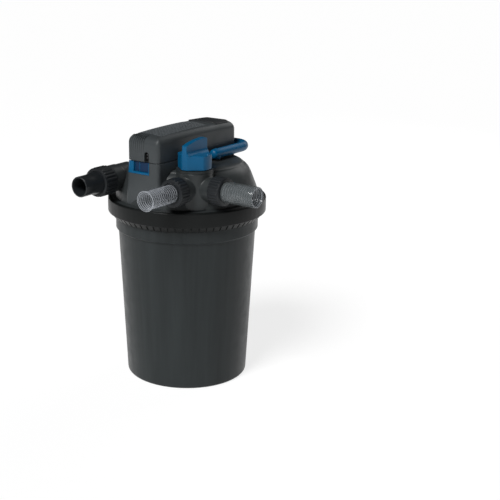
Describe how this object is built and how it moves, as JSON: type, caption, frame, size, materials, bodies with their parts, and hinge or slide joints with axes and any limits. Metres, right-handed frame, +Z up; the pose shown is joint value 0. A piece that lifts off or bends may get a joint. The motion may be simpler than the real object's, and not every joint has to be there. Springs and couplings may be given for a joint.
{
  "type": "pressurized pond filter",
  "caption": "Tapered round pond filter with a clamped domed lid, lift-off lamp head, rotary valve, clear hose tails, side inlet and a U-shaped foam-squeezing pull handle.",
  "frame": {"origin": "centre of the container's base, on the floor", "axes": "+Z up through the container; -Y towards the latch end of the lamp head; the rotary valve stands at +X, -Y"},
  "size_m": [0.4695, 0.46, 0.615],
  "materials": {
    "anthracite_plastic": "fine moulded texture",
    "head_plastic": "fine moulded texture",
    "black_plastic": "satin",
    "blue_plastic": "satin",
    "clear_plastic": "clear moulded",
    "coarse_foam": "open-cell foam",
    "fine_foam": "open-cell foam",
    "steel": "stainless",
    "seal_rubber": "matte",
    "quartz": "clear quartz",
    "lamp_glass": "lamp glass",
    "board": "solder mask",
    "white_plastic": "satin"
  },
  "bodies": {
    "container": {"container_bucket": "anthracite_plastic"},
    "lid": {"lid_dome": "anthracite_plastic", "inlet_port": "anthracite_plastic", "valve_housing": "anthracite_plastic", "valve_cap": "anthracite_plastic", "valve_cap_screws": "steel", "head_base": "head_plastic", "head_seal": "seal_rubber", "centre_tube": "black_plastic", "coarse_foams": "coarse_foam", "fine_foams": "fine_foam", "foam_top_plate": "black_plastic", "rod_guides": "white_plastic", "rod_seals": "seal_rubber", "outlet_gasket": "seal_rubber", "drain_gasket": "seal_rubber", "inlet_gasket": "seal_rubber", "outlet_clear_tail": "clear_plastic", "drain_clear_tail": "clear_plastic", "inlet_hose_tail": "black_plastic", "lid_seal": "seal_rubber", "clamp_ring": "black_plastic", "clamp_pins": "steel"},
    "uvc_head": {"head_cover": "head_plastic", "indicator_window": "black_plastic", "top_grip_panel": "head_plastic", "rear_cover_plate": "head_plastic", "head_chassis": "black_plastic", "head_screws": "steel", "ballast": "black_plastic", "circuit_board": "board", "terminal_block": "white_plastic", "cable_gland": "black_plastic", "quartz_sleeve": "quartz", "uvc_lamp": "lamp_glass", "lamp_socket": "white_plastic", "sleeve_nut": "black_plastic", "sleeve_seal": "seal_rubber"},
    "puller": {"pull_handle": "blue_plastic", "pull_rods": "steel", "rod_nuts": "steel", "press_plate": "black_plastic", "handle_screws": "steel"},
    "valve": {"rotary_knob": "blue_plastic", "valve_plug": "black_plastic", "plug_seals": "seal_rubber", "knob_pin": "steel"},
    "latch": {"latch_button": "blue_plastic", "latch_springs": "steel"},
    "outlet_nut": {"outlet_union_nut": "black_plastic"},
    "drain_nut": {"drain_union_nut": "black_plastic"},
    "inlet_nut": {"inlet_union_nut": "black_plastic"},
    "lever": {"clamp_lever": "black_plastic", "lever_pin": "steel"},
    "link": {"clamp_link": "steel"}
  },
  "joints": [
    {"name": "lid_lift", "type": "slide", "parent": "container", "child": "lid", "axis": [0, 0, 1], "range_m": [0, 0.4]},
    {"name": "head_lift", "type": "slide", "parent": "lid", "child": "uvc_head", "axis": [0, 0, 1], "range_m": [0, 0.4]},
    {"name": "handle_pull", "type": "slide", "parent": "lid", "child": "puller", "axis": [0, 0, 1], "range_m": [0, 0.08], "stiffness_N_per_m": 600, "deforming": ["coarse_foams", "fine_foams"]},
    {"name": "valve_turn", "type": "hinge", "parent": "lid", "child": "valve", "pos_m": [0.094, -0.094, 0.538], "axis": [0, 0, 1], "range_deg": [-90, 0]},
    {"name": "latch_press", "type": "slide", "parent": "lid", "child": "latch", "axis": [0, 1, 0], "range_m": [0, 0.005], "stiffness_N_per_m": 800},
    {"name": "outlet_nut_turn", "type": "hinge", "parent": "lid", "child": "outlet_nut", "pos_m": [0.165, -0.094, 0.494], "axis": [1, 0, 0], "continuous": true},
    {"name": "drain_nut_turn", "type": "hinge", "parent": "lid", "child": "drain_nut", "pos_m": [0.094, -0.165, 0.494], "axis": [0, -1, 0], "continuous": true},
    {"name": "inlet_nut_turn", "type": "hinge", "parent": "lid", "child": "inlet_nut", "pos_m": [-0.11, -0.183, 0.494], "axis": [0, -1, 0], "continuous": true},
    {"name": "clamp_lever_turn", "type": "hinge", "parent": "lid", "child": "lever", "pos_m": [-0.15344, 0.13081, 0.428], "axis": [0, 0, -1], "range_deg": [0, 110]},
    {"name": "clamp_link_turn", "type": "hinge", "parent": "lever", "child": "link", "pos_m": [-0.17183, 0.12657, 0.428], "axis": [0, 0, 1], "range_deg": [0, 127]}
  ],
  "couplings": [
    {"joint": "clamp_link_turn", "follows": "clamp_lever_turn", "ratio": 1.15}
  ]
}
